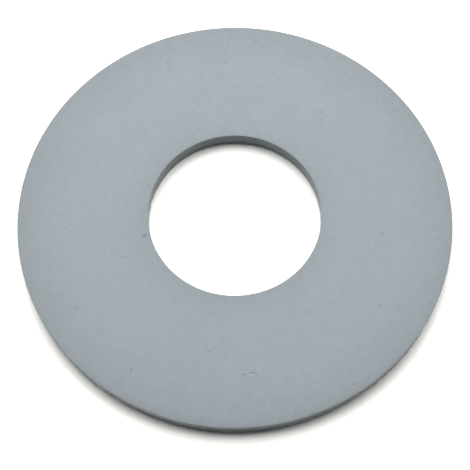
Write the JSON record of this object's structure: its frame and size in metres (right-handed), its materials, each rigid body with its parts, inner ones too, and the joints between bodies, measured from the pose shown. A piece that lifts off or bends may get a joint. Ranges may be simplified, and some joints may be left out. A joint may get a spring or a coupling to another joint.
{
  "type": "flat sealing washer",
  "caption": "Thin, wide flat ring of grey rubber with a plain central bore; sharp upper edges, rounded lower ones; seals between two flat faces.",
  "frame": {"origin": "where the bore's axis meets the lower seating face, on which the washer lies", "axes": "+Z along the bore's axis, out of the upper seating face; X and Y are any two directions across the ring, which is round"},
  "size_m": [0.06, 0.06, 0.0025],
  "materials": {
    "grey_rubber": "matt moulded"
  },
  "bodies": {
    "root": {"sealing_washer": "grey_rubber"}
  },
  "joints": []
}
